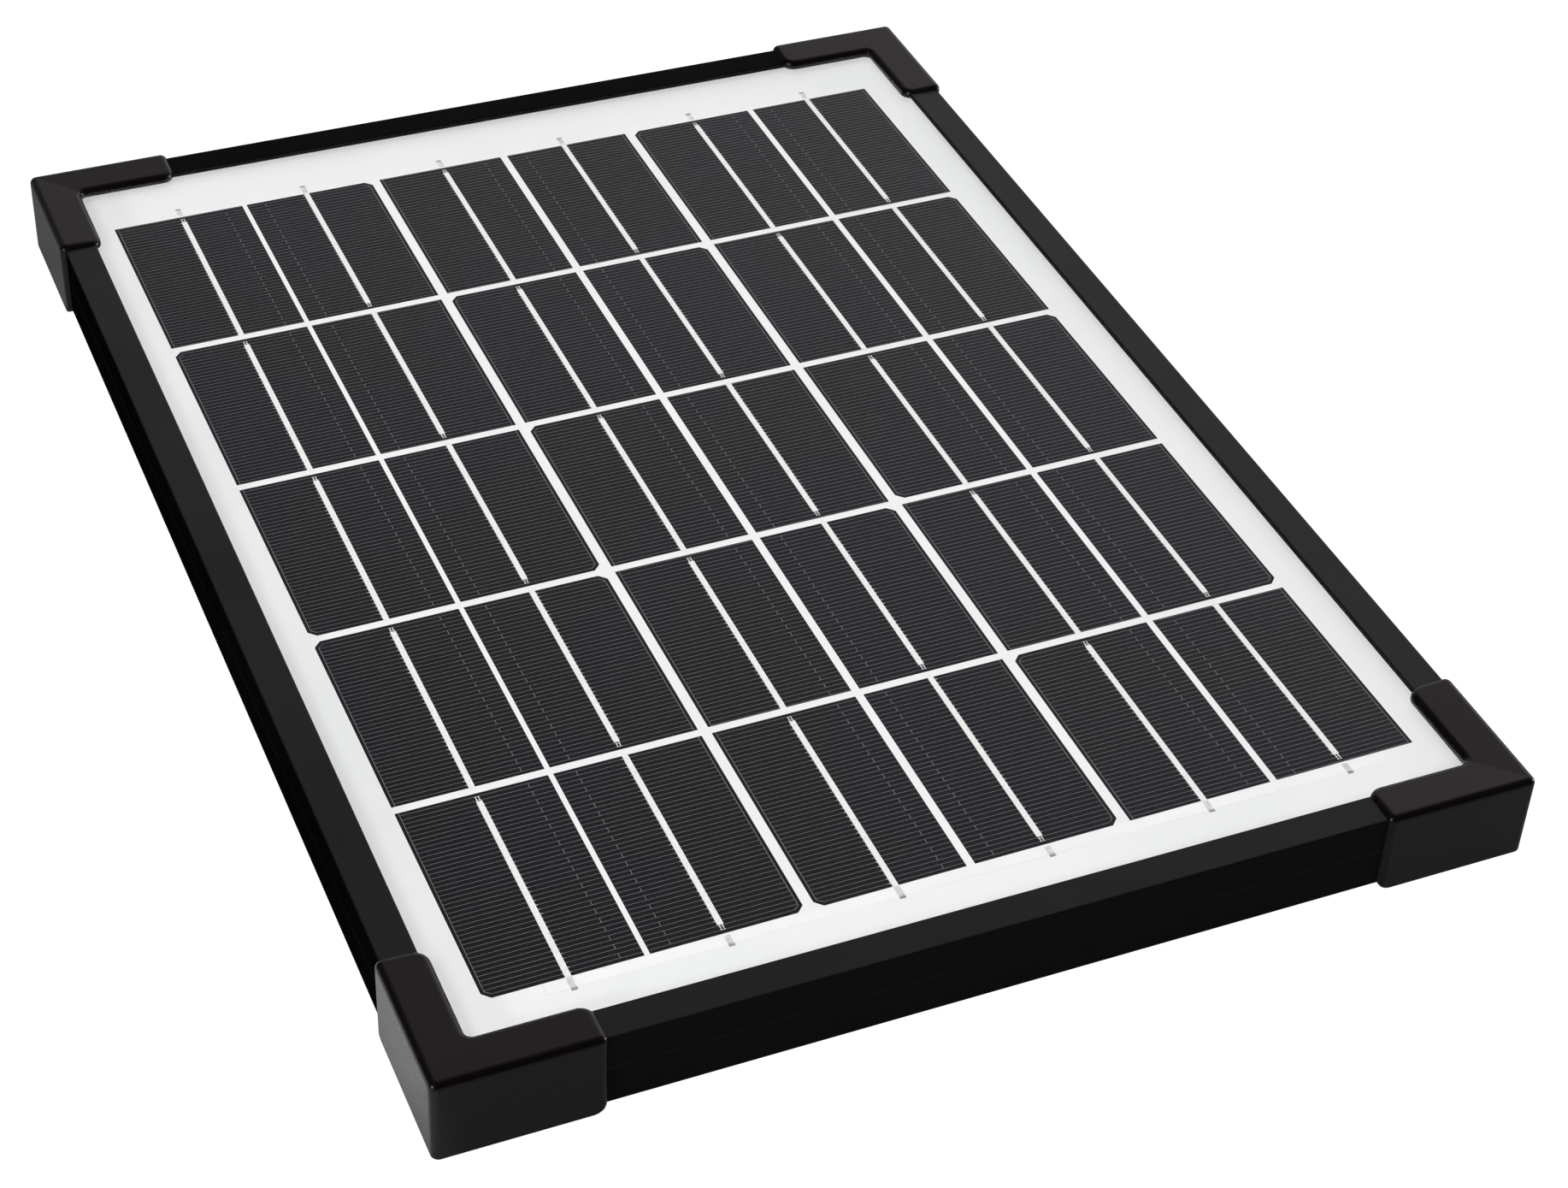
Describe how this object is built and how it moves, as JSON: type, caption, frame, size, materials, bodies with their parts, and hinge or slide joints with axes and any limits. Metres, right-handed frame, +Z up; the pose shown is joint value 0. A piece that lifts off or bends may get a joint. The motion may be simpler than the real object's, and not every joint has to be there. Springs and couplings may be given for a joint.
{
  "type": "solar panel",
  "caption": "Small framed solar panel: glass over a grid of dark cut cells, black metal frame, plastic corner caps and a junction box with a cable gland on the back.",
  "frame": {"origin": "middle of the panel on the plane that the corner caps stand on", "axes": "+X along the short front side, +Y along the long side towards the junction box, +Z up out of the glass"},
  "size_m": [0.2312, 0.3172, 0.0198],
  "materials": {
    "frame": "matt black anodised",
    "key": "moulded nylon",
    "cap": "satin black",
    "cell": "dark purple-black silicon with fine printed fingers",
    "glass": "clear, low iron",
    "clear_film": "clear encapsulant",
    "white_film": "white encapsulant",
    "backsheet": "white film",
    "seal": "black butyl tape",
    "tinned_ribbon": "tinned copper",
    "box_plastic": "black, fine texture",
    "rubber": "black rubber",
    "sealant": "white silicone",
    "brass": "plain",
    "diode": "black epoxy body with tinned leads",
    "steel": "zinc plated",
    "gland_plastic": "black nylon"
  },
  "bodies": {
    "root": {"backsheet": "backsheet", "box_adhesive": "sealant", "bus_ribbons": "tinned_ribbon", "bypass_diode": "diode", "cable_gland_body": "gland_plastic", "cable_gland_nut": "gland_plastic", "cable_gland_seal": "rubber", "cell_row1_string1": "cell", "cell_row1_string2": "cell", "cell_row1_string3": "cell", "cell_row1_string4": "cell", "cell_row1_string5": "cell", "cell_row1_string6": "cell", "cell_row2_string1": "cell", "cell_row2_string2": "cell", "cell_row2_string3": "cell", "cell_row2_string4": "cell", "cell_row2_string5": "cell", "cell_row2_string6": "cell", "cell_row3_string1": "cell", "cell_row3_string2": "cell", "cell_row3_string3": "cell", "cell_row3_string4": "cell", "cell_row3_string5": "cell", "cell_row3_string6": "cell", "cell_row4_string1": "cell", "cell_row4_string2": "cell", "cell_row4_string3": "cell", "cell_row4_string4": "cell", "cell_row4_string5": "cell", "cell_row4_string6": "cell", "cell_row5_string1": "cell", "cell_row5_string2": "cell", "cell_row5_string3": "cell", "cell_row5_string4": "cell", "cell_row5_string5": "cell", "cell_row5_string6": "cell", "corner_cap_back_left": "cap", "corner_cap_back_right": "cap", "corner_cap_front_left": "cap", "corner_cap_front_right": "cap", "corner_key_back_left": "key", "corner_key_back_right": "key", "corner_key_front_left": "key", "corner_key_front_right": "key", "cover_glass": "glass", "edge_seal": "seal", "encapsulant_front": "clear_film", "encapsulant_rear": "white_film", "frame_rail_back": "frame", "frame_rail_front": "frame", "frame_rail_left": "frame", "frame_rail_right": "frame", "insulation_strip": "white_film", "junction_box_base": "box_plastic", "junction_box_gasket": "rubber", "junction_box_lid": "box_plastic", "lid_screws": "steel", "tab_ribbons": "tinned_ribbon", "terminal_clips": "brass"}
  },
  "joints": []
}
